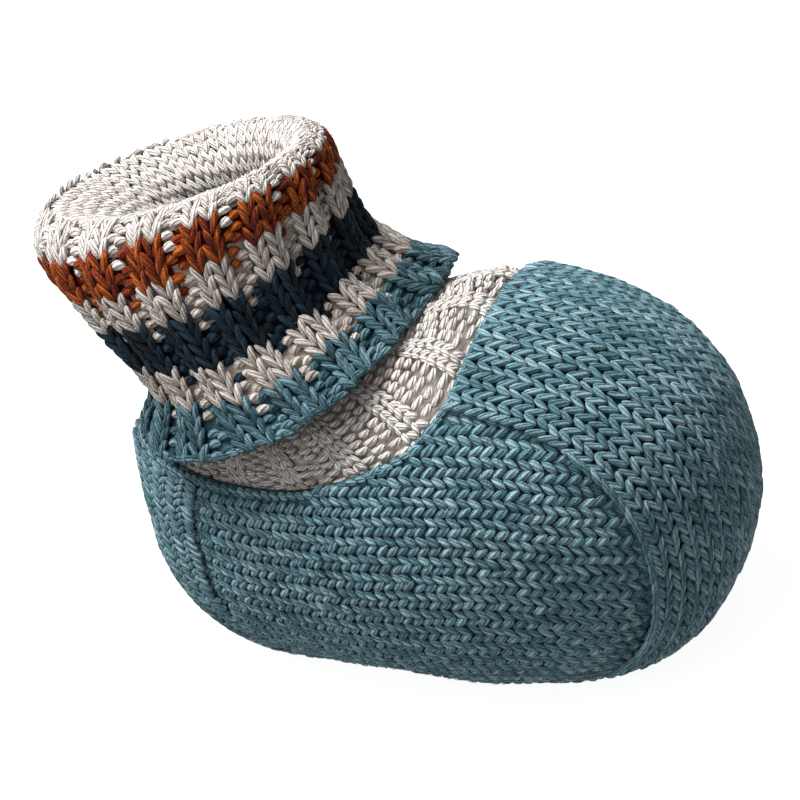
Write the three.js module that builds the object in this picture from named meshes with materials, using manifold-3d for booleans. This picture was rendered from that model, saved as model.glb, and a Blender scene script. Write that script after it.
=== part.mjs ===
// A baby's knitted bootie slipper: a teal knitted foot, a cream ribbed shaft and its striped, turned-down cuff.
// Millimetres, +Z up, +X towards the toe. The origin is on the floor, at the middle of the foot's length.
import * as THREE from "three";
import { ParametricGeometry } from "three/addons/geometries/ParametricGeometry.js";
import { mergeVertices } from "three/addons/utils/BufferGeometryUtils.js";
import Module from "manifold-3d";

const wasm = await Module();
wasm.setup();

// Foot
const footLength = 112;
const ballWidth = 72;
const instepHeight = 66;
const footWall = 2.4;
const upperSquareness = 2.2;
const lowerSquareness = 2.4;

// The middle strip, which runs over the vamp, down the toe, along the sole and up the heel, and its sole part
const stripWidth = 47.4;
const soleLength = 94;
const soleSquareness = 3;
const soleTop = 16;

// Ribbed fabric of the shaft and the cuff
const shaftHeight = 105;
const shaftWidth = 56;
const shaftWall = 2;
const cuffWall = 2.2;
const ribCount = 16;
const ribDepth = 1.2;
const tuckDepth = 3;
const bandStart = 0.04;
const bandEnd = 0.2;
const ribFull = 0.3;

// Raised seams of the strip at toe and heel: radius, how deep they sit and where they end
const seamRadius = 1.5;
const seamSink = 0.8;
const toeSeamTop = 0.72;
const heelSeamTop = 0.6;
const toeSeamBottom = 0.12;
const heelSeamBottom = 0.24;

// Clearance between pieces, and where the faceted fabric passes under the throat edge
const clearance = 0.3;
const tuckClearance = 0.5;

// Mesh steps
const footAround = 44;
const footAlong = 28;
const ribSteps = 4;
const soleAround = 48;
const seamSteps = 9;
const seamAround = 6;
const shaftStops = [0, 0.04, 0.1, 0.17, 0.26, 0.37, 0.47, 0.528];
const cuffStops = [0.552, 0.576, 0.6, 0.65, 0.71, 0.77, 0.83, 0.88, 0.92, 0.96, 1];
const throatSteps = 60;

// Sections of the foot from heel to toe. along is a share of the length, width a share of the ball width,
// low, widest and high are heights as shares of the instep height.
const footSections = [
  { along: 0.0, width: 0.0, low: 0.4, widest: 0.4, high: 0.4 },
  { along: 0.02, width: 0.27, low: 0.18, widest: 0.376, high: 0.746 },
  { along: 0.08, width: 0.485, low: 0.065, widest: 0.37, high: 0.905 },
  { along: 0.2, width: 0.695, low: -0.01, widest: 0.392, high: 1.005 },
  { along: 0.35, width: 0.838, low: -0.015, widest: 0.393, high: 1.045 },
  { along: 0.5, width: 0.945, low: -0.01, widest: 0.398, high: 1.034 },
  { along: 0.65, width: 0.98, low: -0.025, widest: 0.416, high: 1.0 },
  { along: 0.8, width: 0.895, low: -0.012, widest: 0.431, high: 0.917 },
  { along: 0.92, width: 0.655, low: 0.09, widest: 0.438, high: 0.775 },
  { along: 0.98, width: 0.342, low: 0.27, widest: 0.45, high: 0.63 },
  { along: 1.0, width: 0.0, low: 0.45, widest: 0.45, high: 0.45 },
];

// Throat edge of the foot seen from the side: along is a share of the length, rise of the instep height.
const throatLine = [
  { along: -0.05, rise: 0.66 },
  { along: 0.0, rise: 0.66 },
  { along: 0.15, rise: 0.65 },
  { along: 0.3, rise: 0.653 },
  { along: 0.4, rise: 0.673 },
  { along: 0.5, rise: 0.725 },
  { along: 0.59, rise: 0.79 },
  { along: 0.635, rise: 0.85 },
  { along: 0.66, rise: 0.905 },
  { along: 0.672, rise: 0.96 },
  { along: 0.679, rise: 1.05 },
  { along: 0.684, rise: 1.3 },
];

// Rings of the ribbed fabric: up the inside from the throat, over the fold and down the outside to the hem.
// Each ring has its front and back points in side view, as shares of the foot length (from its middle) and
// of the shaft height; half is its half width and dip the sag of its sides, as shares of the shaft width;
// square is its squareness, 2 for an ellipse.
// The first ring gives way to the throat edge itself.
const fabricRings = [
  { at: 0.0, frontX: 0.14, frontZ: 0.6, backX: -0.485, backZ: 0.4, half: 0.48, dip: 0.16, square: 2.0 },
  { at: 0.12, frontX: 0.085, frontZ: 0.57, backX: -0.375, backZ: 0.462, half: 0.41, dip: 0.09, square: 2.0 },
  { at: 0.25, frontX: -0.03, frontZ: 0.6, backX: -0.345, backZ: 0.53, half: 0.37, dip: 0.04, square: 2.0 },
  { at: 0.38, frontX: -0.135, frontZ: 0.7, backX: -0.36, backZ: 0.65, half: 0.26, dip: 0.0, square: 2.0 },
  { at: 0.48, frontX: -0.124, frontZ: 0.862, backX: -0.425, backZ: 0.765, half: 0.185, dip: 0.0, square: 2.0 },
  { at: 0.54, frontX: -0.09, frontZ: 0.885, backX: -0.538, backZ: 0.802, half: 0.3, dip: 0.0, square: 2.0 },
  { at: 0.6, frontX: -0.078, frontZ: 0.866, backX: -0.555, backZ: 0.766, half: 0.38, dip: 0.0, square: 2.0 },
  { at: 0.7, frontX: -0.078, frontZ: 0.787, backX: -0.515, backZ: 0.7, half: 0.415, dip: 0.0, square: 2.0 },
  { at: 0.85, frontX: -0.058, frontZ: 0.683, backX: -0.4, backZ: 0.54, half: 0.455, dip: 0.02, square: 2.0 },
  { at: 0.95, frontX: 0.018, frontZ: 0.628, backX: -0.42, backZ: 0.49, half: 0.51, dip: 0.06, square: 2.2 },
  { at: 1.0, frontX: 0.052, frontZ: 0.612, backX: -0.42, backZ: 0.48, half: 0.555, dip: 0.08, square: 2.5 },
];

// A smooth curve through one column of a table, at a place on its key.
function along(rows, key, column, place) {
  const last = rows.length - 1;
  let i = rows.findIndex((row) => key(row) > place) - 1;
  if (i < 0) i = place <= key(rows[0]) ? 0 : last - 1;
  const slope = (k) => {
    const a = Math.max(k - 1, 0);
    const b = Math.min(k + 1, last);
    return (rows[b][column] - rows[a][column]) / (key(rows[b]) - key(rows[a]));
  };
  const span = key(rows[i + 1]) - key(rows[i]);
  const t = Math.min(Math.max((place - key(rows[i])) / span, 0), 1);
  const u = 1 - t;
  return (
    rows[i][column] * u * u * (1 + 2 * t) +
    rows[i + 1][column] * t * t * (1 + 2 * u) +
    slope(i) * span * t * u * u -
    slope(i + 1) * span * t * t * u
  );
}

const power = (value, squareness) => Math.sign(value) * Math.abs(value) ** (2 / squareness);

// Stations of the foot are spaced like a circle's, so that heel and toe close round.
const station = (row) => Math.acos(1 - 2 * row.along) / Math.PI;
const footColumn = (column, s) => along(footSections, station, column, s);

// A point on the foot's outer face: s from heel to toe, turn round the section from the floor side.
function footPoint(s, turn, target) {
  const angle = 2 * Math.PI * turn;
  const side = Math.sin(angle);
  const up = -Math.cos(angle);
  const widest = footColumn("widest", s) * instepHeight;
  const reach =
    up > 0
      ? footColumn("high", s) * instepHeight - widest
      : widest - footColumn("low", s) * instepHeight;
  const squareness = up > 0 ? upperSquareness : lowerSquareness;
  return target.set(
    (footLength * -Math.cos(Math.PI * s)) / 2,
    (footColumn("width", s) * ballWidth * power(side, squareness)) / 2,
    Math.max(widest + reach * power(up, squareness), 0),
  );
}

// The unit normal of a surface, from close neighbours of a point.
const nudge = 1e-3;
function normalOf(surface, u, v) {
  const at = (a, b) => surface(a, b, new THREE.Vector3());
  const alongU = at(u + nudge, v).sub(at(u - nudge, v));
  const alongV = at(u, v + nudge).sub(at(u, v - nudge));
  return alongU.cross(alongV).normalize();
}

const throatRise = (x) => along(throatLine, (row) => row.along, "rise", x / footLength + 0.5) * instepHeight;

// The foot's section at x, at a height: its station, its half width there and the turn round the section.
function sectionAt(x, height) {
  const s = Math.acos((-2 * x) / footLength) / Math.PI;
  const widest = footColumn("widest", s) * instepHeight;
  const above = height > widest;
  const reach = Math.abs(footColumn(above ? "high" : "low", s) * instepHeight - widest);
  const squareness = above ? upperSquareness : lowerSquareness;
  const share = Math.min(Math.abs(height - widest) / reach, 1) ** squareness;
  const halfWidth = (footColumn("width", s) * ballWidth * (1 - share) ** (1 / squareness)) / 2;
  const turn = Math.atan2(Math.sqrt(1 - share), Math.sqrt(share) * (above ? -1 : 1)) / (2 * Math.PI);
  return { s, halfWidth, turn };
}

// The place between two values where a test stops holding, found by halving.
function lastHolding(inside, outside, holds) {
  for (let i = 0; i < 30; i++) {
    const middle = (inside + outside) / 2;
    if (holds(middle)) inside = middle;
    else outside = middle;
  }
  return inside;
}

// A point of the foot at a station and a turn, a depth under its outer face.
function sunkPoint(s, turn, depth) {
  const inward = normalOf((a, b, target) => footPoint(b, a, target), turn, s);
  return footPoint(s, turn, new THREE.Vector3()).addScaledVector(inward, -depth);
}

// Half of a line at a lift above the throat edge, from the front to the back, a depth under the outer face.
function throatCurve(lift, depth) {
  const crossing = (x) => sectionAt(x, throatRise(x) + lift);
  const open = (x) => crossing(x).halfWidth > 0;
  const front = lastHolding(-footLength / 5, footLength * 0.45, open);
  const back = lastHolding(-footLength / 5, -footLength / 2, open);
  const points = [];
  for (let i = 0; i <= throatSteps; i++) {
    const x = (front + back) / 2 + ((front - back) / 2) * Math.cos((Math.PI * i) / throatSteps);
    const { s, turn } = crossing(x);
    points.push(sunkPoint(s, turn, depth));
  }
  points[0].y = 0;
  points[throatSteps].y = 0;
  return new THREE.CatmullRomCurve3(points);
}
const fabricDepth = footWall + tuckClearance + shaftWall / 2;
const throatEdge = throatCurve(0, fabricDepth);
const tuckEdge = throatCurve(-tuckDepth, fabricDepth);

// A point of one of these lines all round the leg, turn measured from the front.
function throatPoint(line, turn) {
  const point = line.getPointAt(turn < 0.5 ? 2 * turn : 2 - 2 * turn);
  if (turn > 0.5) point.y *= -1;
  return point;
}

// A point of the fabric's rings: turn round the leg from the front.
function ringPoint(turn, at) {
  const angle = 2 * Math.PI * turn;
  const ring = (column) => along(fabricRings, (row) => row.at, column, at);
  const front = new THREE.Vector3(ring("frontX") * footLength, 0, ring("frontZ") * shaftHeight);
  const back = new THREE.Vector3(ring("backX") * footLength, 0, ring("backZ") * shaftHeight);
  const middle = front.clone().add(back).multiplyScalar(0.5);
  const reach = front.clone().sub(back).multiplyScalar(0.5);
  const up = new THREE.Vector3(-reach.z, 0, reach.x).normalize();
  const point = middle.addScaledVector(reach, power(Math.cos(angle), ring("square")));
  point.addScaledVector(up, -ring("dip") * shaftWidth * Math.sin(angle) ** 2);
  point.y = ring("half") * shaftWidth * power(Math.sin(angle), ring("square"));
  return point;
}

// A point on the middle of the ribbed fabric, from under the throat edge at 0 to the cuff's hem at 1.
function fabricPoint(around, at, target) {
  const turn = around - Math.floor(around);
  if (at > bandStart) target.copy(ringPoint(turn, at));
  if (at >= bandEnd) return target;
  const edge = throatPoint(throatEdge, turn);
  if (at <= bandStart) return target.copy(throatPoint(tuckEdge, turn)).lerp(edge, at / bandStart);
  return target.lerp(edge, 1 - THREE.MathUtils.smoothstep(at, bandStart, bandEnd));
}

// A closed mesh as a solid, and a solid as a mesh's geometry.
function solidOf(geometry) {
  geometry.deleteAttribute("normal");
  geometry.deleteAttribute("uv");
  const merged = mergeVertices(geometry, 1e-4);
  const corners = merged.index.array;
  const kept = [];
  for (let i = 0; i < corners.length; i += 3) {
    const [a, b, c] = corners.slice(i, i + 3);
    if (a !== b && b !== c && c !== a) kept.push(a, b, c);
  }
  const solid = new wasm.Manifold(
    new wasm.Mesh({
      numProp: 3,
      vertProperties: merged.attributes.position.array,
      triVerts: new Uint32Array(kept),
    }),
  );
  return solid;
}

function geometryOf(solid) {
  const mesh = solid.getMesh();
  return new THREE.BufferGeometry()
    .setAttribute("position", new THREE.BufferAttribute(mesh.vertProperties, 3))
    .setIndex(new THREE.BufferAttribute(mesh.triVerts, 1));
}

// The foot as a closed form, taken in by a depth.
function footForm(depth) {
  const pole = 0.5 / footAlong ** 2;
  const place = (turn, s, target) => {
    footPoint(s, turn, target);
    if (s < pole) target.x += depth;
    else if (s > 1 - pole) target.x -= depth;
    else if (depth > 0) target.addScaledVector(normalOf((a, b, t) => footPoint(b, a, t), turn, s), -depth);
    return target;
  };
  return solidOf(new ParametricGeometry(place, footAround, footAlong));
}

// A length of the ribbed fabric with a wall, ribbed on both faces, with rings at the given stops.
function fabricForm(stops, wall) {
  const around = ribCount * ribSteps;
  const profile = [...stops.map((at) => [at, wall / 2]), ...stops.toReversed().map((at) => [at, -wall / 2])];
  const across = profile.length;
  const place = (u, v, target) => {
    const turn = (Math.round(u * around) % around) / around;
    const [at, offset] = profile[Math.round(v * across) % across];
    const fade = THREE.MathUtils.smoothstep(at, bandStart, ribFull);
    const rib = fade * ribDepth * 0.5 * Math.cos(2 * Math.PI * (ribCount * turn + 1 / 8));
    fabricPoint(turn, at, target);
    return target.addScaledVector(normalOf(fabricPoint, turn, at), offset + rib);
  };
  return solidOf(new ParametricGeometry(place, around, across));
}

// Everything above the throat edge, as wide as the foot.
function throatCutter() {
  const outline = new THREE.Shape();
  const from = -0.6 * footLength;
  const to = 0.19 * footLength;
  const steps = 60;
  outline.moveTo(from, throatRise(from));
  for (let i = 1; i <= steps; i++) {
    const x = from + ((to - from) * i) / steps;
    outline.lineTo(x, throatRise(x));
  }
  outline.lineTo(to, 2 * instepHeight);
  outline.lineTo(from, 2 * instepHeight);
  const cutter = new THREE.ExtrudeGeometry(outline, { depth: 2 * ballWidth, bevelEnabled: false });
  cutter.rotateX(Math.PI / 2);
  cutter.translate(0, ballWidth, 0);
  return solidOf(cutter);
}

// The sole's outline in plan as an upright block, taken in by a gap.
function soleBlock(gap) {
  const outline = new THREE.Shape();
  for (let i = 0; i < soleAround; i++) {
    const angle = (2 * Math.PI * i) / soleAround;
    const x = (soleLength / 2 - gap) * power(Math.cos(angle), soleSquareness);
    const y = (stripWidth / 2 - gap) * power(Math.sin(angle), soleSquareness);
    if (i === 0) outline.moveTo(x, y);
    else outline.lineTo(x, y);
  }
  const block = new THREE.ExtrudeGeometry(outline, { depth: 2 * soleTop, bevelEnabled: false });
  block.translate(0, 0, -soleTop);
  return solidOf(block);
}

// A raised seam along one edge of the strip, at one end of the foot: end is 1 at the toe and -1 at the heel.
function seamCord(end, side, bottom, top) {
  const points = [];
  for (let i = 0; i <= seamSteps; i++) {
    const height = (bottom + ((top - bottom) * i) / seamSteps) * instepHeight;
    const within = (x) => sectionAt(x, height).halfWidth > stripWidth / 2;
    const x = lastHolding(0, (end * footLength) / 2, within);
    const { s, turn } = sectionAt(x, height);
    points.push(sunkPoint(s, side * turn, seamSink));
  }
  const path = new THREE.CatmullRomCurve3(points);
  const frames = path.computeFrenetFrames(seamSteps, false);
  const place = (u, v, target) => {
    const step = Math.round(v * seamSteps);
    const radius = step > 0 && step < seamSteps ? seamRadius : 0;
    const angle = 2 * Math.PI * (Math.round(u * seamAround) % seamAround) / seamAround;
    path.getPointAt(step / seamSteps, target);
    target.addScaledVector(frames.normals[step], radius * Math.cos(angle));
    return target.addScaledVector(frames.binormals[step], radius * Math.sin(angle));
  };
  return solidOf(new ParametricGeometry(place, seamAround, seamSteps));
}

const foot = footForm(0).subtract(footForm(footWall));
const shaft = fabricForm(shaftStops, shaftWall);
const cuff = fabricForm(cuffStops, cuffWall);
let upper = foot.subtract(throatCutter()).subtract(soleBlock(0));
for (const side of [-1, 1]) {
  upper = upper.add(seamCord(1, side, toeSeamBottom, toeSeamTop));
  upper = upper.add(seamCord(-1, side, heelSeamBottom, heelSeamTop));
}
const sole = foot.intersect(soleBlock(clearance));

const yarn = (color) => new THREE.MeshStandardMaterial({ color, roughness: 0.95, metalness: 0 });
const bootie = new THREE.Group();
function piece(name, solid, color) {
  const mesh = new THREE.Mesh(geometryOf(solid), yarn(color));
  mesh.name = name;
  bootie.add(mesh);
}
piece("sole", sole, 0x5f8794);
piece("upper", upper, 0x6f98a5);
piece("shaft", shaft, 0xd8cdc6);
piece("cuff", cuff, 0x7c2a10);

export default bootie;
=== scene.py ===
import math

import bpy
import numpy as np
from mathutils import Matrix, Vector


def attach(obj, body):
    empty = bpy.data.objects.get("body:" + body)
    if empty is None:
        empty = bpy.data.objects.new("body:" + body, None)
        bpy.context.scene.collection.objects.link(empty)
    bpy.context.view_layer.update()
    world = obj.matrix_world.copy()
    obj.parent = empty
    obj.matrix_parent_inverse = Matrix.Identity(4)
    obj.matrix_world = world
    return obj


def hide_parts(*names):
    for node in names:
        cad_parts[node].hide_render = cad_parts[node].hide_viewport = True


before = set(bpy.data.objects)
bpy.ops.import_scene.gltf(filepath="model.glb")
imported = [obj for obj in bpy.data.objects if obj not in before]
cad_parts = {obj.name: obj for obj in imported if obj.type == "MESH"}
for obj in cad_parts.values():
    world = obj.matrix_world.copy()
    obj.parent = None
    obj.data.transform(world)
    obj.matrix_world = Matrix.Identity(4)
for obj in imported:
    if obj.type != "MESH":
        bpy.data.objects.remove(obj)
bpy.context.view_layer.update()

# A baby's knitted bootie. Every stitch is a pair of yarn loops laid on the foot, the shaft or the cuff.
# Sizes are millimetres, as on the knitter's sheet, and meshes are made in metres.
mm = 0.001
rng = np.random.default_rng(11)

foot = {
    "length": 112, "ball": 72, "instep": 66, "strip": 47.4,
    "upperSquareness": 2.2, "lowerSquareness": 2.4,
    # along, width, low, widest, high
    "sections": [
        (0.0, 0.0, 0.4, 0.4, 0.4),
        (0.02, 0.27, 0.18, 0.376, 0.746),
        (0.08, 0.485, 0.065, 0.37, 0.905),
        (0.2, 0.695, -0.01, 0.392, 1.005),
        (0.35, 0.838, -0.015, 0.393, 1.045),
        (0.5, 0.945, -0.01, 0.398, 1.034),
        (0.65, 0.98, -0.025, 0.416, 1.0),
        (0.8, 0.895, -0.012, 0.431, 0.917),
        (0.92, 0.655, 0.09, 0.438, 0.775),
        (0.98, 0.342, 0.27, 0.45, 0.63),
        (1.0, 0.0, 0.45, 0.45, 0.45),
    ],
    # along, rise
    "throat": [
        (-0.05, 0.66), (0.0, 0.66), (0.15, 0.65), (0.3, 0.653), (0.4, 0.673), (0.5, 0.725), (0.59, 0.79),
        (0.635, 0.85), (0.66, 0.905), (0.672, 0.96), (0.679, 1.05), (0.684, 1.3),
    ],
}
ribbing = {
    "height": 105, "width": 56, "ribs": 16, "bandStart": 0.04, "bandEnd": 0.2, "ribFull": 0.3,
    "tuckDepth": 3, "edgeDepth": 3.9,
    # at, frontX, frontZ, backX, backZ, half, dip, square
    "rings": [
        (0.0, 0.14, 0.6, -0.485, 0.4, 0.48, 0.16, 2.0),
        (0.12, 0.085, 0.57, -0.375, 0.462, 0.41, 0.09, 2.0),
        (0.25, -0.03, 0.6, -0.345, 0.53, 0.37, 0.04, 2.0),
        (0.38, -0.135, 0.7, -0.36, 0.65, 0.26, 0.0, 2.0),
        (0.48, -0.124, 0.862, -0.425, 0.765, 0.185, 0.0, 2.0),
        (0.54, -0.09, 0.885, -0.538, 0.802, 0.3, 0.0, 2.0),
        (0.6, -0.078, 0.866, -0.555, 0.766, 0.38, 0.0, 2.0),
        (0.7, -0.078, 0.787, -0.515, 0.7, 0.415, 0.0, 2.0),
        (0.85, -0.058, 0.683, -0.4, 0.54, 0.455, 0.02, 2.0),
        (0.95, 0.018, 0.628, -0.42, 0.49, 0.51, 0.06, 2.2),
        (1.0, 0.052, 0.612, -0.42, 0.48, 0.555, 0.08, 2.5),
    ],
}

# Camera, at the photograph's angle
look = {
    "azimuth": 30, "elevation": 28, "roll": -14.5,
    "target": (-4, 0, 45), "distance": 500, "lens": 130,
}


def cameraAxes():
    a, e, roll = (math.radians(look[k]) for k in ("azimuth", "elevation", "roll"))
    back = Vector((math.sin(a) * math.cos(e), -math.cos(a) * math.cos(e), math.sin(e)))
    right = Vector((math.cos(a), math.sin(a), 0))
    up = back.cross(right)
    turned = right * math.cos(roll) + up * math.sin(roll)
    return turned, back.cross(turned), back


def placeCamera():
    right, up, back = cameraAxes()
    cam = bpy.data.objects.new("camera", bpy.data.cameras.new("camera"))
    bpy.context.scene.collection.objects.link(cam)
    spot = (Vector(look["target"]) + back * look["distance"]) * mm
    cam.matrix_world = Matrix.Translation(spot) @ Matrix((right, up, back)).transposed().to_4x4()
    cam.data.lens = look["lens"]
    cam.data.sensor_width = 36
    cam.data.clip_start = 0.01
    cam.data.clip_end = 20
    bpy.context.scene.camera = cam


placeCamera()
print("camera placed")


# Materials: yarn with its plies, its fibres and a change of tone from stitch to stitch
def newMaterial(name):
    material = bpy.data.materials.new(name)
    material.use_nodes = True
    nodes, links = material.node_tree.nodes, material.node_tree.links
    nodes.clear()
    output = nodes.new("ShaderNodeOutputMaterial")
    shader = nodes.new("ShaderNodeBsdfPrincipled")
    links.new(shader.outputs["BSDF"], output.inputs["Surface"])
    return material, nodes, links, shader


# Colours of each yarn: in the shade, over most of it and on the loose fibres, with its sheen
yarns = {
    "teal": {
        "dark": (0.040, 0.100, 0.125), "main": (0.106, 0.238, 0.292),
        "light": (0.33, 0.52, 0.58), "sheen": 0.1,
    },
    "cream": {
        "dark": (0.54, 0.47, 0.42), "main": (0.80, 0.735, 0.685),
        "light": (0.92, 0.88, 0.84), "sheen": 0.1,
    },
    "darkTeal": {
        "dark": (0.010, 0.034, 0.045), "main": (0.040, 0.108, 0.140),
        "light": (0.18, 0.32, 0.37), "sheen": 0.1,
    },
    "oat": {
        "dark": (0.28, 0.22, 0.175), "main": (0.60, 0.53, 0.475),
        "light": (0.80, 0.74, 0.68), "sheen": 0.1,
    },
    "rust": {
        "dark": (0.035, 0.003, 0.001), "main": (0.215, 0.022, 0.002),
        "light": (0.62, 0.15, 0.015), "sheen": 0.03,
    },
    "navy": {
        "dark": (0.001, 0.004, 0.008), "main": (0.003, 0.012, 0.022),
        "light": (0.016, 0.048, 0.075), "sheen": 0.02,
    },
}
yarnOrder = ["teal", "cream", "rust", "navy", "darkTeal", "oat"]
# marl tones vary at random; the groove entry is painted shade, how far the colour is darkened in the
# grooves between the plies
marl = {"ply": 0.34, "stitch": 0.16, "streak": 0.45, "fuzz": 0.80, "patch": 0.25, "grooveShade": 0.55}


def yarnMaterial(name, tones):
    material, nodes, links, shader = newMaterial(name + "Yarn")
    shader.inputs["Roughness"].default_value = 0.9
    shader.inputs["Sheen Weight"].default_value = tones["sheen"]
    shader.inputs["Sheen Roughness"].default_value = 0.5
    shader.inputs["Sheen Tint"].default_value = (*[0.4 + 0.6 * c for c in tones["light"]], 1)
    shader.inputs["Specular IOR Level"].default_value = 0.2
    uv = nodes.new("ShaderNodeUVMap")
    uv.uv_map = "ply"
    parts = nodes.new("ShaderNodeSeparateXYZ")
    links.new(uv.outputs["UV"], parts.inputs["Vector"])
    place = nodes.new("ShaderNodeTexCoord")

    def math1(operation, source, value=None):
        node = nodes.new("ShaderNodeMath")
        node.operation = operation
        links.new(source, node.inputs[0])
        if value is not None:
            node.inputs[1].default_value = value
        return node.outputs[0]

    def added(source, share, rest):
        node = nodes.new("ShaderNodeMath")
        node.operation = "MULTIPLY_ADD"
        links.new(source, node.inputs[0])
        node.inputs[1].default_value = share
        links.new(rest, node.inputs[2])
        return node.outputs[0]

    def noise(source, scale, detail):
        node = nodes.new("ShaderNodeTexNoise")
        node.inputs["Scale"].default_value = scale
        node.inputs["Detail"].default_value = detail
        links.new(source, node.inputs["Vector"])
        return node.outputs["Fac"]

    # plies: rounded strands wound along the yarn, each with its own tone
    strand = math1("ABSOLUTE", math1("SINE", math1("MULTIPLY", parts.outputs["X"], math.pi)))
    strand = math1("POWER", strand, 0.6)
    plyTone = nodes.new("ShaderNodeTexWhiteNoise")
    plyTone.noise_dimensions = "1D"
    links.new(math1("FLOOR", parts.outputs["X"]), plyTone.inputs["W"])

    # fibres: fine streaks that follow the plies, and loose ones that don't
    streakPlace = nodes.new("ShaderNodeVectorMath")
    streakPlace.operation = "MULTIPLY"
    streakPlace.inputs[1].default_value = (5.0, 60.0, 1.0)
    links.new(uv.outputs["UV"], streakPlace.inputs[0])
    streaks = noise(streakPlace.outputs[0], 1.0, 2.0)
    fuzz = noise(place.outputs["Object"], 3800, 3.0)
    patches = noise(place.outputs["Object"], 160, 3.0)

    start = nodes.new("ShaderNodeMath")
    start.operation = "MULTIPLY_ADD"
    links.new(parts.outputs["Y"], start.inputs[0])
    start.inputs[1].default_value = marl["stitch"]
    start.inputs[2].default_value = -0.35
    tone = start.outputs[0]
    tone = added(plyTone.outputs["Value"], marl["ply"], tone)
    tone = added(streaks, marl["streak"], tone)
    tone = added(fuzz, marl["fuzz"], tone)
    tone = added(patches, marl["patch"], tone)
    ramp = nodes.new("ShaderNodeValToRGB")
    ramp.color_ramp.elements[0].position = 0.32
    ramp.color_ramp.elements[0].color = (*tones["dark"], 1)
    ramp.color_ramp.elements[1].position = 0.85
    ramp.color_ramp.elements[1].color = (*tones["light"], 1)
    middle = ramp.color_ramp.elements.new(0.57)
    middle.color = (*tones["main"], 1)
    links.new(tone, ramp.inputs["Fac"])

    # painted shade: the grooves between the plies are darkened in the base colour, as if shaded
    shade = nodes.new("ShaderNodeMapRange")
    shade.inputs["To Min"].default_value = 1 - marl["grooveShade"]
    shade.inputs["To Max"].default_value = 1.0
    links.new(strand, shade.inputs["Value"])
    tint = nodes.new("ShaderNodeVectorMath")
    tint.operation = "SCALE"
    links.new(ramp.outputs["Color"], tint.inputs[0])
    links.new(shade.outputs["Result"], tint.inputs["Scale"])
    links.new(tint.outputs[0], shader.inputs["Base Color"])

    height = added(streaks, 0.45, strand)
    height = added(fuzz, 0.8, height)
    bump = nodes.new("ShaderNodeBump")
    bump.inputs["Strength"].default_value = 1.0
    bump.inputs["Distance"].default_value = 0.0003
    links.new(height, bump.inputs["Height"])
    links.new(bump.outputs["Normal"], shader.inputs["Normal"])
    return material


# The inner layer, seen only in the gaps between the stitches: real yarn behind the stitches, coloured
# darker than the yarn as painted shade in the gaps
def underShadeMaterial(name, tones):
    material, nodes, links, shader = newMaterial(name + "UnderShade")
    shader.inputs["Roughness"].default_value = 0.95
    shader.inputs["Specular IOR Level"].default_value = 0.1
    place = nodes.new("ShaderNodeTexCoord")
    cells = nodes.new("ShaderNodeTexNoise")
    cells.inputs["Scale"].default_value = 900
    cells.inputs["Detail"].default_value = 4.0
    links.new(place.outputs["Object"], cells.inputs["Vector"])
    # painted shade: the ramp runs from the yarn's dark tone to its main tone, both darkened by 0.9
    ramp = nodes.new("ShaderNodeValToRGB")
    ramp.color_ramp.elements[0].position = 0.35
    ramp.color_ramp.elements[0].color = (*[0.9 * c for c in tones["dark"]], 1)
    ramp.color_ramp.elements[1].position = 0.75
    ramp.color_ramp.elements[1].color = (*[0.9 * c for c in tones["main"]], 1)
    links.new(cells.outputs["Fac"], ramp.inputs["Fac"])
    links.new(ramp.outputs["Color"], shader.inputs["Base Color"])
    bump = nodes.new("ShaderNodeBump")
    bump.inputs["Strength"].default_value = 0.7
    bump.inputs["Distance"].default_value = 0.0004
    links.new(cells.outputs["Fac"], bump.inputs["Height"])
    links.new(bump.outputs["Normal"], shader.inputs["Normal"])
    return material


yarnSet = [yarnMaterial(name, yarns[name]) for name in yarnOrder]
underShadeSet = [underShadeMaterial(name, yarns[name]) for name in yarnOrder]
print("yarn dyed")


# Smooth curve through one column of a table
def through(keys, values, place):
    keys, values = np.asarray(keys, float), np.asarray(values, float)
    place = np.clip(place, keys[0], keys[-1])
    i = np.clip(np.searchsorted(keys, place, side="right") - 1, 0, len(keys) - 2)
    slope = np.zeros(len(keys))
    slope[1:-1] = (values[2:] - values[:-2]) / (keys[2:] - keys[:-2])
    slope[0] = (values[1] - values[0]) / (keys[1] - keys[0])
    slope[-1] = (values[-1] - values[-2]) / (keys[-1] - keys[-2])
    span = keys[i + 1] - keys[i]
    t = (place - keys[i]) / span
    u = 1 - t
    return (values[i] * u * u * (1 + 2 * t) + values[i + 1] * t * t * (1 + 2 * u)
            + slope[i] * span * t * u * u - slope[i + 1] * span * t * t * u)


def smoothStep(x, low, high):
    t = np.clip((x - low) / (high - low), 0, 1)
    return t * t * (3 - 2 * t)


def unit(vectors):
    return vectors / np.maximum(np.linalg.norm(vectors, axis=-1, keepdims=True), 1e-9)


def runOf(points):
    return np.concatenate([[0], np.cumsum(np.linalg.norm(np.diff(points, axis=0), axis=1))])


def pointsAt(points, places):
    run = runOf(points)
    return np.stack([np.interp(np.asarray(places) * run[-1], run, points[:, k]) for k in range(3)], -1)


# Slow, smooth unevenness of hand knitting: one number for each point
def waver(points, size):
    total = np.zeros(points.shape[:-1])
    for k in range(6):
        way = unit(rng.normal(0, 1, 3))
        total += np.sin(points @ way * 2 * np.pi / (size * (0.7 + 0.2 * k)) + rng.uniform(0, 6))
    return total / 6


sectionTable = np.array(foot["sections"])
sectionKeys = np.arccos(1 - 2 * sectionTable[:, 0]) / np.pi
throatTable = np.array(foot["throat"])
ringTable = np.array(ribbing["rings"])


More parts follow.
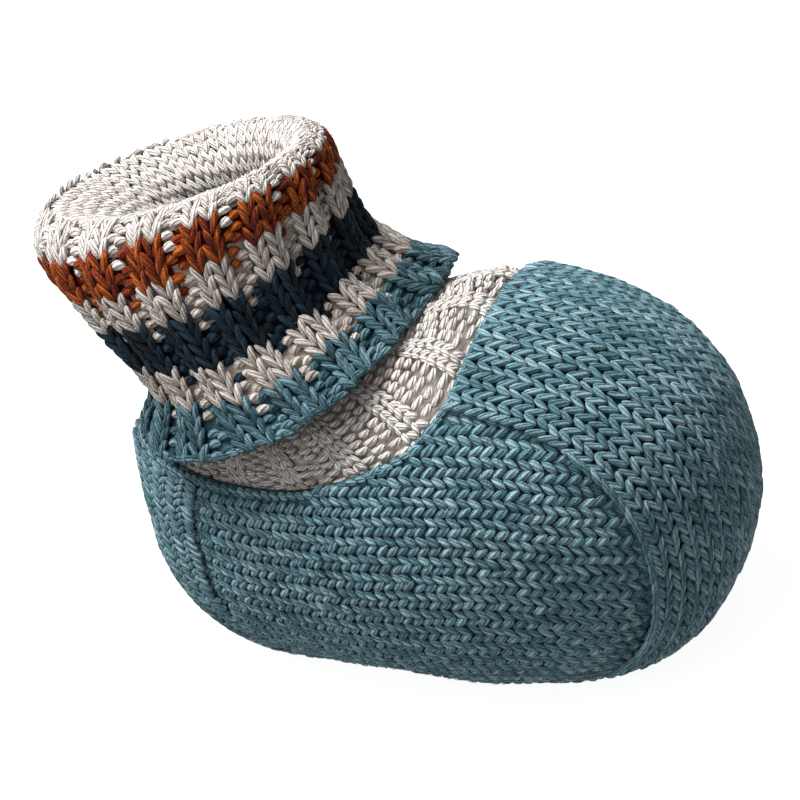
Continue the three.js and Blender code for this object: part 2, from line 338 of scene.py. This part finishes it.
# Half width, low, widest and high of the foot's section at x
def sectionSizes(x):
    s = np.arccos(np.clip(-2 * np.asarray(x, float) / foot["length"], -1, 1)) / np.pi
    half = through(sectionKeys, sectionTable[:, 1], s) * foot["ball"] / 2
    low, widest, high = (through(sectionKeys, sectionTable[:, k], s) * foot["instep"] for k in (2, 3, 4))
    return half, low, widest, high


def throatRise(x):
    share = np.asarray(x, float) / foot["length"] + 0.5
    return through(throatTable[:, 0], throatTable[:, 1], share) * foot["instep"]


# Half of the section's outline at x, from the floor up to the top
def sectionOutline(x, steps=361):
    half, low, widest, high = sectionSizes(x)
    angle = np.linspace(0, np.pi, steps)
    side, up = np.sin(angle), -np.cos(angle)
    q = np.where(up > 0, foot["upperSquareness"], foot["lowerSquareness"])
    reach = np.where(up > 0, high - widest, widest - low)
    y = half * np.abs(side) ** (2 / q)
    z = widest + reach * np.sign(up) * np.abs(up) ** (2 / q)
    return y, np.maximum(z, 0)


# Height of the foot at x and y, on its upper or its lower face
def faceHeight(x, y, above):
    half, low, widest, high = sectionSizes(x)
    q = foot["upperSquareness"] if above else foot["lowerSquareness"]
    share = np.clip(np.abs(y) / np.maximum(half, 1e-6), 0, 1)
    rise = (1 - share ** q) ** (1 / q)
    return np.maximum(widest + rise * ((high - widest) if above else (low - widest)), 0)


# Half width of the foot at x and z, and the outward normal of its side there
def faceSide(x, z):
    half, low, widest, high = sectionSizes(x)
    above = z > widest
    q = np.where(above, foot["upperSquareness"], foot["lowerSquareness"])
    reach = np.where(above, high - widest, widest - low)
    share = np.clip(np.abs(z - widest) / np.maximum(reach, 1e-6), 0, 1)
    return half * (1 - share ** q) ** (1 / q)


def sideNormal(xs, zs):
    e = 0.05
    slopeX = (faceSide(xs + e, zs) - faceSide(xs - e, zs)) / (2 * e)
    slopeZ = (faceSide(xs, zs + e) - faceSide(xs, zs - e)) / (2 * e)
    return unit(np.stack([-slopeX, np.ones_like(xs), -slopeZ], 1))


# Grid of stitches on a side panel: courses from heel to toe, wales at even steps round the section
def sideGrid(side):
    wale, course = sidePanel["wale"], sidePanel["course"]
    line = np.array(sidePanel["level"])
    xs = np.linspace(-54.5, 54.5, 541)
    reach = []
    for x in xs:
        y, z = sectionOutline(x)
        reach.append(np.interp(sidePanel["girthAt"], z[10:180], y[10:180]))
    run = np.concatenate([[0], np.cumsum(np.hypot(np.diff(xs), np.diff(reach)))])
    count = int(run[-1] / course)
    courses = np.interp((np.arange(count) + 0.5) * run[-1] / count, run, xs)
    wales = np.arange(-11, 14)
    grid = np.zeros((count, len(wales), 3))
    for i, x in enumerate(courses):
        y, z = sectionOutline(x)
        around = np.concatenate([[0], np.cumsum(np.hypot(np.diff(y), np.diff(z)))])
        climb = z > 0.01
        zero = np.interp(through(line[:, 0], line[:, 1], x), z[climb], around[climb])
        at = zero + (wales + 0.5) * wale
        grid[i, :, 0] = x
        grid[i, :, 1] = side * np.where((at < 0) | (at > around[-1]), 0, np.interp(at, around, y))
        grid[i, :, 2] = np.interp(at, around, z)
    half = foot["strip"] / 2
    reachIn = np.where((grid[..., 2] < 13) & (np.abs(grid[..., 0]) < 40), half - 4.5, half - 1.4)
    keep = (np.abs(grid[..., 1]) > reachIn) & (grid[..., 2] < throatRise(grid[..., 0]) - 0.9)
    return grid, keep


# Grid of stitches on the middle strip: down the heel and along the sole, up the toe and over the vamp
def stripGrid():
    half = foot["strip"] / 2
    across = np.linspace(-half, half, 401)
    along = np.full_like(across, 32)
    shelf = np.stack([along, across, faceHeight(along, across, True)], 1)
    ys = pointsAt(shelf, (np.arange(middleStrip["wales"]) + 0.5) / middleStrip["wales"])[:, 1]
    grid = []
    for y in ys:
        xs = -np.cos(np.linspace(0, np.pi, 2401)) * foot["length"] / 2
        xs = xs[sectionSizes(xs)[0] > abs(y) + 1e-3]
        upper = np.stack([xs, np.full_like(xs, y), faceHeight(xs, y, True)], 1)
        lower = np.stack([xs, np.full_like(xs, y), faceHeight(xs, y, False)], 1)
        below = upper[:, 2] < throatRise(xs) - 0.3
        heel = upper[below & (xs < 0)][::-1]
        vamp = upper[below & (xs > 10)][::-1]
        rear = np.concatenate([heel, lower[xs < 0]])
        fore = np.concatenate([lower[xs >= 0], vamp])
        parts = []
        for path, courses in ((rear, middleStrip["rear"]), (fore, middleStrip["fore"])):
            parts.append(pointsAt(path, (np.arange(courses) + 0.5) / courses))
        grid.append(np.concatenate(parts))
    grid = np.array(grid).transpose(1, 0, 2)
    shown = (grid[..., 2] > 13) | (np.abs(grid[..., 1]) < half - 5.2) | (np.abs(grid[..., 0]) > 40)
    return grid, shown


# The ribbed fabric's middle surface: turn is round the leg from the front, at is from throat to hem
def ringPoint(turn, at):
    angle = 2 * np.pi * turn
    columns = [through(ringTable[:, 0], ringTable[:, k], at) for k in range(1, 8)]
    frontX, frontZ, backX, backZ, half, dip, square = columns
    front = np.stack([frontX * foot["length"], frontZ * ribbing["height"]], -1)
    back = np.stack([backX * foot["length"], backZ * ribbing["height"]], -1)
    middle, reach = (front + back) / 2, (front - back) / 2
    up = unit(np.stack([-reach[..., 1], reach[..., 0]], -1))
    cosine = np.sign(np.cos(angle)) * np.abs(np.cos(angle)) ** (2 / square)
    sine = np.sign(np.sin(angle)) * np.abs(np.sin(angle)) ** (2 / square)
    flat = middle + reach * cosine[..., None]
    flat = flat - up * (dip * ribbing["width"] * np.sin(angle) ** 2)[..., None]
    return np.stack([flat[..., 0], half * ribbing["width"] * sine, flat[..., 1]], -1)


# The throat's cut line on the foot, moved up by lift and inwards by depth, from the front to the back
def throatLine(lift, depth):
    xs = np.linspace(-56, 25, 4001)
    zs = throatRise(xs) + lift
    ys = faceSide(xs, zs)
    inside = ys > 0
    xs, ys, zs = xs[inside], ys[inside], zs[inside]
    line = np.stack([xs, ys, zs], 1) - sideNormal(xs, zs) * depth
    line = line[line[:, 1] > 0][::-1]
    ends = (line[:1] * (1, 0, 1), line[-1:] * (1, 0, 1))
    return np.concatenate([ends[0], line, ends[1]])


def alongThroat(line, turn):
    turn = turn - np.floor(turn)
    point = pointsAt(line, np.where(turn < 0.5, 2 * turn, 2 - 2 * turn))
    point[..., 1] *= np.where(turn < 0.5, 1, -1)
    return point


throatEdge = throatLine(0, ribbing["edgeDepth"])
tuckEdge = throatLine(-ribbing["tuckDepth"], ribbing["edgeDepth"])


def fabricPoint(turn, at):
    turn, at = np.broadcast_arrays(np.asarray(turn, float), np.asarray(at, float))
    start, end = ribbing["bandStart"], ribbing["bandEnd"]
    edge, tuck = alongThroat(throatEdge, turn), alongThroat(tuckEdge, turn)
    low = tuck + (edge - tuck) * np.clip(at / start, 0, 1)[..., None]
    weight = smoothStep(at, start, end)[..., None]
    return np.where((at <= start)[..., None], low, edge + (ringPoint(turn, at) - edge) * weight)


# Outward side of the middle surface: across the turn and along the fabric
def fabricNormal(turn, at):
    e = 0.004
    around = fabricPoint(turn + e, at) - fabricPoint(turn - e, at)
    along = fabricPoint(turn, np.minimum(at + e, 1)) - fabricPoint(turn, np.maximum(at - e, 0))
    return unit(np.cross(around, along))


ribForm = {
    "rim": 0.54, "rollWidth": 0.05, "fadeWidth": 0.09, "hemFade": 0.4, "hemStart": 0.88,
    "frontAt": 0.12, "frontWidth": 0.065, "frontPower": 3,
}


# Where the stitches lie on the ribbing: face 1 is the band's outer face, face -1 is the cuff's
def ribFace(turn, at, rib):
    turn, at = np.broadcast_arrays(np.asarray(turn, float), np.asarray(at, float))
    phase = ribbing["ribs"] * turn + 0.125 + (0 if rib["face"] > 0 else 0.5)
    wave = 1 - 2 * np.abs(np.sin(np.pi * phase)) ** rib["crest"]
    fromRim = at - ribForm["rim"]
    roll = np.exp(-(fromRim / ribForm["rollWidth"]) ** 2)
    fade = 1 - np.exp(-(fromRim / ribForm["fadeWidth"]) ** 2)
    fade = fade * (1 - ribForm["hemFade"] * smoothStep(at, ribForm["hemStart"], 1.0))
    if at.max() < 0.5:  # the band has neither rim nor hem
        fade = smoothStep(at, ribbing["bandStart"], ribbing["ribFull"])
    front = (0.5 + 0.5 * np.cos(2 * np.pi * turn)) ** ribForm["frontPower"]
    front = front * np.exp(-((at - ribForm["frontAt"]) / ribForm["frontWidth"]) ** 2)
    height = rib["base"] + rib["swell"] * wave * fade + rib["roll"] * roll + rib["front"] * front
    return fabricPoint(turn, at) + fabricNormal(turn, at) * (rib["face"] * height)[..., None]


# Yarn lobe, modelled once from a sphere, with its poles at the two ends of Y
def makeLobe(sides, rings):
    bpy.ops.object.select_all(action="DESELECT")
    bpy.ops.mesh.primitive_uv_sphere_add(segments=sides, ring_count=rings, radius=1)
    ball = bpy.context.object
    bpy.ops.object.mode_set(mode="EDIT")
    bpy.ops.mesh.select_all(action="SELECT")
    bpy.ops.transform.rotate(value=math.radians(-90), orient_axis="X", center_override=(0, 0, 0))
    bpy.ops.object.mode_set(mode="OBJECT")
    mesh = ball.data
    uv = mesh.uv_layers.active.data
    made = {
        "points": np.array([v.co[:] for v in mesh.vertices]),
        "corners": np.array([v for p in mesh.polygons for v in p.vertices]),
        "totals": np.array([p.loop_total for p in mesh.polygons]),
        "uv": np.array([uv[k].uv[:] for p in mesh.polygons for k in p.loop_indices]),
    }
    starts = np.concatenate([[0], np.cumsum(made["totals"])[:-1]])
    made["turned"] = np.concatenate([np.arange(a, a + n)[::-1] for a, n in zip(starts, made["totals"])])
    bpy.data.objects.remove(ball)
    bpy.data.meshes.remove(mesh)
    return made


fineLobe = makeLobe(7, 6)
plainLobe = makeLobe(6, 5)
fibreLobe = makeLobe(3, 5)
print("lobes modelled")


# One leg of a knit stitch, in stitch units across and along, and in millimetres of height.
# It comes up out of the middle of the stitch below and ends high at the edge of its wale.
def legShape(side, size, lobe):
    if side < 0 and "second" in size:  # the two legs of a slanting stitch differ
        size = dict(size, **size["second"])
    p = lobe["points"]
    taper = 1 + size["taper"] * p[:, 1]
    x = p[:, 0] * size["radius"] * taper + size["bow"] * np.cos(p[:, 1] * np.pi / 2)
    y = p[:, 1] * size["length"] / 2
    h = p[:, 2] * size["radius"] * size["flat"] * taper
    h = h + size["rise"] * p[:, 1] - size["arch"] * p[:, 1] ** 2 + size["arch"] / 2
    lean = math.radians(size["lean"])
    across = (x * math.cos(lean) + y * math.sin(lean)) / size["wale"] + 0.25
    along = (-x * math.sin(lean) + y * math.cos(lean)) / size["course"]
    return {"form": np.stack([side * across, along, h], 1), "hand": side, "lobe": lobe}


def purlShape(size, lobe):
    p = lobe["points"]
    across = p[:, 1] * size["purlLength"] / 2 / size["purlWale"]
    along = (p[:, 0] * size["purlRadius"] - 0.35 * p[:, 1] ** 2) / size["course"]
    h = p[:, 2] * size["purlRadius"] * 0.9 - 0.25 * p[:, 1] ** 2
    return {"form": np.stack([across, along, h], 1), "hand": -1, "lobe": lobe}


# A loose fibre, a bent spindle with its two ends in the yarn
def fibreShape(length, bulge):
    p = fibreLobe["points"]
    across = p[:, 0] * loose["radius"]
    h = p[:, 2] * loose["radius"] + bulge * (1 - p[:, 1] ** 2)
    return {"form": np.stack([across, p[:, 1] * length / 2, h], 1), "hand": 1, "lobe": fibreLobe}


def newKnit():
    return {"points": [], "corners": [], "uv": [], "totals": [], "slots": [], "count": 0, "roots": []}


# Lays one lobe shape at every place of a grid
def layLobes(piece, shape, place, across, along, normal, slot, jitter=0.06):
    form, hand, lobe = shape["form"], shape["hand"], shape["lobe"]
    n = len(place)
    if n == 0:
        return
    shift = rng.normal(0, jitter, (n, 3))
    grow = 1 + rng.normal(0, jitter, n)
    a = form[None, :, 0] * grow[:, None] + shift[:, :1] * 0.4
    c = form[None, :, 1] + shift[:, 1:2] * 0.8
    h = form[None, :, 2] * grow[:, None] + shift[:, 2:]
    points = (place[:, None] + across[:, None] * a[..., None]
              + along[:, None] * c[..., None] + normal[:, None] * h[..., None])
    facing = np.sign(np.linalg.det(np.stack([across, along, normal], 1)))
    turned = hand * facing < 0
    base = piece["count"] + np.arange(n) * len(form)
    forward, backward = lobe["corners"], lobe["corners"][lobe["turned"]]
    corners = np.where(turned[:, None], backward[None], forward[None]) + base[:, None]
    # the plies wind the same way round every leg, also on one that is a mirror image
    u, v = lobe["uv"][:, 0], lobe["uv"][:, 1]
    asMade = plies["count"] * u + plies["twist"] * v
    mirrored = plies["count"] * u - plies["twist"] * v
    uv = np.zeros((n, len(u), 2))
    uv[..., 0] = np.where(turned[:, None], mirrored[lobe["turned"]][None], asMade[None])
    uv[..., 0] += rng.integers(0, 400, n)[:, None]
    uv[..., 1] = rng.uniform(0, 1, n)[:, None]
    piece["points"].append(points.reshape(-1, 3))
    piece["corners"].append(corners.reshape(-1))
    piece["uv"].append(uv.reshape(-1, 2))
    piece["totals"].append(np.tile(lobe["totals"], n))
    piece["slots"].append(np.repeat(np.broadcast_to(slot, n), len(lobe["totals"])))
    slots = np.broadcast_to(slot, n)[:, None]
    piece["roots"].append(np.concatenate([place, normal, unit(along), slots], 1))
    piece["count"] += n * len(form)


# Joins what was laid into one mesh
def finishKnit(piece, name, floorAt=0.0):
    points = np.concatenate(piece["points"])
    points[:, 2] = np.maximum(points[:, 2], floorAt)
    corners, totals = np.concatenate(piece["corners"]), np.concatenate(piece["totals"])
    mesh = bpy.data.meshes.new(name)
    mesh.vertices.add(len(points))
    mesh.vertices.foreach_set("co", (points * mm).ravel())
    mesh.loops.add(len(corners))
    mesh.loops.foreach_set("vertex_index", corners)
    mesh.polygons.add(len(totals))
    mesh.polygons.foreach_set("loop_start", np.concatenate([[0], np.cumsum(totals)[:-1]]))
    mesh.polygons.foreach_set("loop_total", totals)
    slots = np.concatenate(piece["slots"])
    used = sorted(set(slots.tolist()))
    for k in used:
        mesh.materials.append(yarnSet[k])
    mesh.polygons.foreach_set("material_index", np.searchsorted(used, slots))
    mesh.polygons.foreach_set("use_smooth", np.ones(len(totals), bool))
    layer = mesh.uv_layers.new(name="ply")
    layer.data.foreach_set("uv", np.concatenate(piece["uv"]).ravel())
    mesh.update(calc_edges=True)
    mesh.validate()
    made = bpy.data.objects.new(name, mesh)
    bpy.context.scene.collection.objects.link(made)
    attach(made, "root")
    print(name, "triangles", int((totals - 2).sum()))
    return made


# The steps of a grid along its courses and across its wales, and the outward normal
def stepsOf(grid, outward):
    along, across = np.gradient(grid, axis=0), np.gradient(grid, axis=1)
    return across, along, unit(np.cross(across, along)) * outward


plies = {"count": 5, "twist": 2.0}
loose = {"radius": 0.035}
sidePanel = {"wale": 3.37, "course": 1.99, "length": 3.4, "lean": 33, "radius": 0.70, "flat": 0.95,
             "taper": 0.10, "bow": -0.08, "rise": 0.24, "arch": 0.24, "sink": 0.45,
             "second": {"length": 3.15, "lean": 36, "radius": 0.74, "rise": 0.20},
             "girthAt": 26,
             # x, z of the wale that the others are counted from
             "level": [(-56, 24.5), (-25, 24.5), (-5, 26.4), (15, 28), (30, 26.5), (45, 21.5), (56, 17)]}
middleStrip = {"wales": 16, "rear": 46, "fore": 52, "wale": 3.25, "course": 2.45, "length": 3.7,
               "lean": 23, "radius": 0.71, "flat": 1.0, "taper": 0.06, "bow": -0.05, "rise": 0.14,
               "arch": 0.24, "sink": 0.45}


# Stitches sink a little into the seams between the panels
def seamDip(points):
    away = np.abs(np.abs(points[..., 1]) - foot["strip"] / 2)
    deep = 0.25 + 0.25 * smoothStep(points[..., 0], -20, 10) + 0.25 * smoothStep(points[..., 0], 34, 44)
    return deep * np.exp(-(away / 1.6) ** 2) * smoothStep(points[..., 2], 10, 18)


uneven = {"high": 0.22, "highWave": 14, "wide": 0.25, "wideWave": 9}


def knitPanel(grid, keep, outward, size):
    piece = newKnit()
    across, along, normal = stepsOf(grid, outward)
    shift = waver(grid, uneven["highWave"])[..., None] * uneven["high"] * normal
    shift = shift + waver(grid, uneven["wideWave"])[..., None] * uneven["wide"] * unit(across)
    place = grid + shift - normal * (size["sink"] + seamDip(grid))[..., None]
    hidden = grid[..., 2] < 2.5
    for lobe, chosen in ((fineLobe, keep & ~hidden), (plainLobe, keep & hidden)):
        for hand in (-1, 1):
            leg = legShape(hand, size, lobe)
            layLobes(piece, leg, place[chosen], across[chosen], along[chosen], normal[chosen], 0)
    return piece


# A row of yarn loops laid along a line, like a rope
def layRow(piece, line, outward, size, slot):
    run = runOf(line)
    count = max(int(run[-1] / size["spacing"]), 2)
    at = (np.arange(count) + 0.5) / count * run[-1]
    place = np.stack([np.interp(at, run, line[:, k]) for k in range(3)], 1)
    normal = unit(np.stack([np.interp(at, run, outward[:, k]) for k in range(3)], 1))
    along = unit(np.gradient(place, axis=0))
    across = np.cross(along, normal)
    p = fineLobe["points"]
    lean = math.radians(size["lean"])
    x, y = p[:, 0] * size["radius"], p[:, 1] * size["length"] / 2
    form = np.stack([x * math.cos(lean) + y * math.sin(lean), -x * math.sin(lean) + y * math.cos(lean),
                     p[:, 2] * size["radius"] * 0.9 - 0.2 * p[:, 1] ** 2], 1)
    shape = {"form": form, "hand": 1, "lobe": fineLobe}
    layLobes(piece, shape, place + normal * size["lift"], across, along, normal, slot)


# Where the strip's edge crosses one end of the foot, from the floor side up
def seamLine(end, side, low, high):
    heights = np.linspace(low, high, 60)
    xs = np.linspace(0, 55.9, 1200) * end
    places = []
    for z in heights:
        wide = faceSide(xs, np.full_like(xs, z)) > foot["strip"] / 2
        x = xs[wide][-1]
        places.append((x, faceSide(np.array([x]), np.array([z]))[0], z))
    line = np.array(places)
    normal = sideNormal(line[:, 0], line[:, 2])
    return line * (1, side, 1), normal * (1, side, 1)


toeSeam = {"spacing": 1.9, "length": 3.9, "radius": 0.62, "lean": 14, "lift": 1.15, "low": 8, "high": 49}
heelSeam = {"spacing": 1.9, "length": 2.6, "radius": 0.45, "lean": 25, "lift": -0.5,
            "low": 15, "high": 41}
throatRow = {"spacing": 1.9, "length": 2.7, "radius": 0.62, "lean": 28, "lift": 0.0}
footPieces = []
for side, name in ((-1, "rightSideStitches"), (1, "leftSideStitches")):
    grid, keep = sideGrid(side)
    piece = knitPanel(grid, keep, side, sidePanel)
    for end, seam in ((1, toeSeam), (-1, heelSeam)):
        line, outward = seamLine(end, side, seam["low"], seam["high"])
        layRow(piece, line, outward, seam, 0)
    finishKnit(piece, name, 0.02)
    footPieces.append(piece)

grid, keep = stripGrid()
piece = knitPanel(grid, keep, -1, middleStrip)
turns = np.linspace(0, 1, 721)
edgeOut = alongThroat(throatLine(-0.5, 0.35), turns)
edgeIn = alongThroat(throatLine(-0.5, 2.4), turns)
layRow(piece, edgeOut, unit(unit(edgeOut - edgeIn) + (0, 0, 0.8)), throatRow, 0)
finishKnit(piece, "stripStitches", 0.02)
footPieces.append(piece)
print("foot knitted")


ribYarn = {"wale": 3.0, "course": 2.15, "length": 3.9, "lean": 19, "radius": 0.60, "flat": 1.05,
           "taper": 0.05, "bow": -0.04, "rise": 0.16, "arch": 0.22,
           "purlLength": 2.4, "purlRadius": 0.82, "purlWale": 1.5}
cuffRib = {"face": -1, "crest": 2.4, "base": 0.62, "swell": 0.98, "roll": 0.5, "front": 0.0, "sag": 0.055,
           "knit": (-0.165, 0.165), "knitShare": 0.33, "purl": (0.42, 0.58), "purlShare": 0.17}
insideRib = {"face": -1, "crest": 2.0, "base": 0.7, "swell": 0.25, "roll": 0.5, "front": 0.0, "sag": 0,
             "knit": (-0.375, -0.125, 0.125, 0.375), "knitShare": 0.25, "purl": (), "purlShare": 0.25}
bandRib = {"face": 1, "crest": 1.2, "base": 0.8, "swell": 0.55, "roll": 0.0, "front": 4.2, "sag": 0,
           "knit": (-0.09, 0.09), "knitShare": 0.18, "purl": (0.287, 0.5, 0.713), "purlShare": 0.213}


# The rust stripe is knitted looser, and rides up at the front and down at the back
stripeWarp = {"middle": 0.775, "looser": 0.17, "reach": 0.12, "power": 2.7, "back": 1.25, "level": 0.25}


# The ribbed fabric: courses from the hem over the rim and down inside, or down the band
def knitRibs(rib, size, start, end, slots, lobe):
    legs = [legShape(-1, size, lobe), legShape(1, size, lobe)]
    purl = purlShape(size, lobe)
    piece = newKnit()
    courses = len(slots)
    crest = 0.0 if rib["face"] > 0 else 0.5
    marks = []
    lanes = [(offset, rib["knitShare"], True) for offset in rib["knit"]]
    lanes += [(offset, rib["purlShare"], False) for offset in rib["purl"]]
    for k in range(ribbing["ribs"]):
        for lane, (offset, share, isKnit) in enumerate(lanes):
            turn = (k + crest + offset - 0.125) / ribbing["ribs"]
            fine = np.linspace(start, end, 240)
            run = runOf(ribFace(turn, fine, rib))
            shift = 0.5 if isKnit else 0.25 + 0.5 * (lane % 2)
            course = (np.arange(courses) + shift) / courses
            if rib["sag"]:
                away = course - stripeWarp["middle"]
                toBack = -np.cos(2 * np.pi * turn)
                growth = stripeWarp["back"] if toBack > 0 else 1.0
                drop = rib["sag"] * (toBack * growth - stripeWarp["level"])
                looser = stripeWarp["looser"] * away * np.exp(-(away / stripeWarp["reach"]) ** 2)
                course = course + looser - drop * np.sin(np.pi * course ** stripeWarp["power"])
            at = np.interp(course * run[-1], run, fine)
            place = ribFace(turn, at, rib)
            along = np.gradient(place, axis=0)
            e = share / ribbing["ribs"] / 2
            across = ribFace(turn + e, at, rib) - ribFace(turn - e, at, rib)
            normal = unit(np.cross(across, along))
            normal *= np.sign((normal * fabricNormal(turn, at) * rib["face"]).sum(1))[:, None]
            # where the colour changes, every second purl bump still shows the colour of the course above
            dyed = slots if isKnit or lane % 2 else np.append(slots[1:], slots[-1])
            for shape in (legs if isKnit else [purl]):
                layLobes(piece, shape, place, across, along, normal, dyed, 0.08 if isKnit else 0.14)
            marks.append(np.concatenate([place, slots[:, None]], 1))
    piece["marks"] = np.concatenate(marks)
    return piece


cuffStripes = [("darkTeal", 4), ("oat", 3), ("navy", 4), ("oat", 3), ("rust", 3), ("cream", 3)]
cuffSlots = np.concatenate([np.full(n, yarnOrder.index(c)) for c, n in cuffStripes])
cuffPiece = knitRibs(cuffRib, ribYarn, 1.0, 0.54, cuffSlots, fineLobe)
hemRow = {"spacing": 2.3, "length": 2.9, "radius": 0.66, "lean": 20, "lift": -0.15}
turns = np.linspace(0, 1, 961)
hemLine = ribFace(turns, 0.998, cuffRib)
hemDown = unit(fabricPoint(turns, 1.0) - fabricPoint(turns, 0.985))
hemOut = unit(-fabricNormal(turns, 0.998) + hemDown * 1.2)
layRow(cuffPiece, hemLine, hemOut, hemRow, yarnOrder.index("darkTeal"))
finishKnit(cuffPiece, "cuffStitches")

insideYarn = dict(ribYarn, wale=2.2, length=3.2, lean=22, radius=0.66, rise=0.08)
insidePiece = knitRibs(insideRib, insideYarn, 0.54, 0.22, np.full(17, 1), plainLobe)
finishKnit(insidePiece, "insideStitches")

bandYarn = dict(ribYarn, wale=1.8, length=2.8, lean=12, radius=0.52,
                purlLength=2.3, purlRadius=0.82, purlWale=2.05)
bandPiece = knitRibs(bandRib, bandYarn, 0.27, 0.03, np.full(14, 1), fineLobe)
finishKnit(bandPiece, "bandStitches")
print("ribbing knitted")


fuzzNumbers = {"foot": 3000, "cuff": 2200}


# Loose fibres that stand out of the yarn all over
def addFuzz(pieces, number):
    roots = np.concatenate([r for piece in pieces for r in piece["roots"]])
    roots = roots[roots[:, 2] > 2.5]
    chosen = roots[rng.integers(0, len(roots), number)]
    place, normal, along, slots = chosen[:, :3], chosen[:, 3:6], chosen[:, 6:9], chosen[:, 9].astype(int)
    across = np.cross(normal, along)
    fuzzPiece = newKnit()
    for length, bulge in ((1.6, 0.35), (2.4, 0.6), (1.2, 0.5), (3.2, 0.45)):
        pick = rng.uniform(0, 1, number) < 0.25
        turn = rng.uniform(0, 2 * np.pi, pick.sum())[:, None]
        way = along[pick] * np.cos(turn) + across[pick] * np.sin(turn)
        cross = np.cross(way, normal[pick])
        spot = place[pick] + rng.normal(0, 0.7, (pick.sum(), 1)) * cross + normal[pick] * 0.42
        layLobes(fuzzPiece, fibreShape(length, bulge), spot, cross, way, normal[pick], slots[pick])
    return fuzzPiece


finishKnit(addFuzz(footPieces, fuzzNumbers["foot"]), "footFuzz", 0.02)
finishKnit(addFuzz([cuffPiece, cuffPiece, bandPiece], fuzzNumbers["cuff"]), "cuffFuzz")


# Inner layers: the imported solids' own forms, drawn in under the stitches, in a darkened yarn colour
# that paints the shade between the stitches
def underLayer(node, name, inset, slotOf):
    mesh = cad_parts[node].data.copy()
    mesh.name = name
    made = bpy.data.objects.new(name, mesh)
    bpy.context.scene.collection.objects.link(made)
    bpy.ops.object.select_all(action="DESELECT")
    bpy.context.view_layer.objects.active = made
    made.select_set(True)
    bpy.ops.object.mode_set(mode="EDIT")
    bpy.ops.mesh.select_all(action="SELECT")
    bpy.ops.mesh.remove_doubles(threshold=0.00002)
    bpy.ops.transform.shrink_fatten(value=-inset * mm)
    bpy.ops.object.mode_set(mode="OBJECT")
    mesh.materials.clear()
    slots = slotOf(np.array([p.center[:] for p in mesh.polygons]) / mm)
    used = sorted(set(slots.tolist()))
    for k in used:
        mesh.materials.append(underShadeSet[k])
    mesh.polygons.foreach_set("material_index", np.searchsorted(used, slots))
    mesh.polygons.foreach_set("use_smooth", np.ones(len(mesh.polygons), bool))
    mesh.update()
    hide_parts(node)
    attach(made, "root")
    return made


def plainSlot(k):
    return lambda centres: np.full(len(centres), k)


def stripeSlot(centres):
    marks = cuffPiece["marks"]
    near = np.array([np.argmin(((marks[:, :3] - c) ** 2).sum(1)) for c in centres])
    return marks[near, 3].astype(int)


underLayer("upper", "upperUnderShade", 0.8, plainSlot(0))
underLayer("sole", "soleUnderShade", 0.8, plainSlot(0))
underLayer("shaft", "shaftUnderShade", 0.85, plainSlot(1))
underLayer("cuff", "cuffUnderShade", 1.05, stripeSlot)
print("inner layers drawn in")


# Floor and light
studio = {"floor": 4.0, "world": 0.34, "keyPower": 11.0, "keySize": 0.4, "sidePower": 1.6}


def addFloor():
    bpy.ops.object.select_all(action="DESELECT")
    bpy.ops.mesh.primitive_plane_add(size=studio["floor"], location=(0, 0, 0))
    floor = bpy.context.object
    floor.name = "floor"
    bpy.ops.object.mode_set(mode="EDIT")
    bpy.ops.mesh.select_all(action="SELECT")
    bpy.ops.transform.translate(value=(0, 0, -0.0003))
    bpy.ops.object.mode_set(mode="OBJECT")
    material, nodes, links, shader = newMaterial("paleFloor")
    shader.inputs["Base Color"].default_value = (0.3, 0.3, 0.3, 1)
    shader.inputs["Roughness"].default_value = 0.9
    shader.inputs["Specular IOR Level"].default_value = 0.0
    shader.inputs["Emission Color"].default_value = (1, 1, 1, 1)
    shader.inputs["Emission Strength"].default_value = 0.92
    floor.data.materials.append(material)
    floor.visible_diffuse = False


def addLight(name, right, up, back, size, power):
    axes = cameraAxes()
    way = (axes[0] * right + axes[1] * up + axes[2] * back).normalized()
    lamp = bpy.data.objects.new(name, bpy.data.lights.new(name, "AREA"))
    lamp.data.size = size
    lamp.data.energy = power
    lamp.location = Vector(look["target"]) * mm + way * 0.8
    lamp.rotation_euler = way.to_track_quat("Z", "Y").to_euler()
    bpy.context.scene.collection.objects.link(lamp)


addFloor()
addLight("keyLight", -0.52, 0.78, 0.36, studio["keySize"], studio["keyPower"])
addLight("sideLight", -0.75, 0.0, 0.8, 0.6, studio["sidePower"])
world = bpy.data.worlds.new("studio")
world.use_nodes = True
world.node_tree.nodes["Background"].inputs["Color"].default_value = (1, 1, 1, 1)
world.node_tree.nodes["Background"].inputs["Strength"].default_value = studio["world"]
bpy.context.scene.world = world
bpy.context.scene.view_settings.view_transform = "Standard"
print("studio lit")
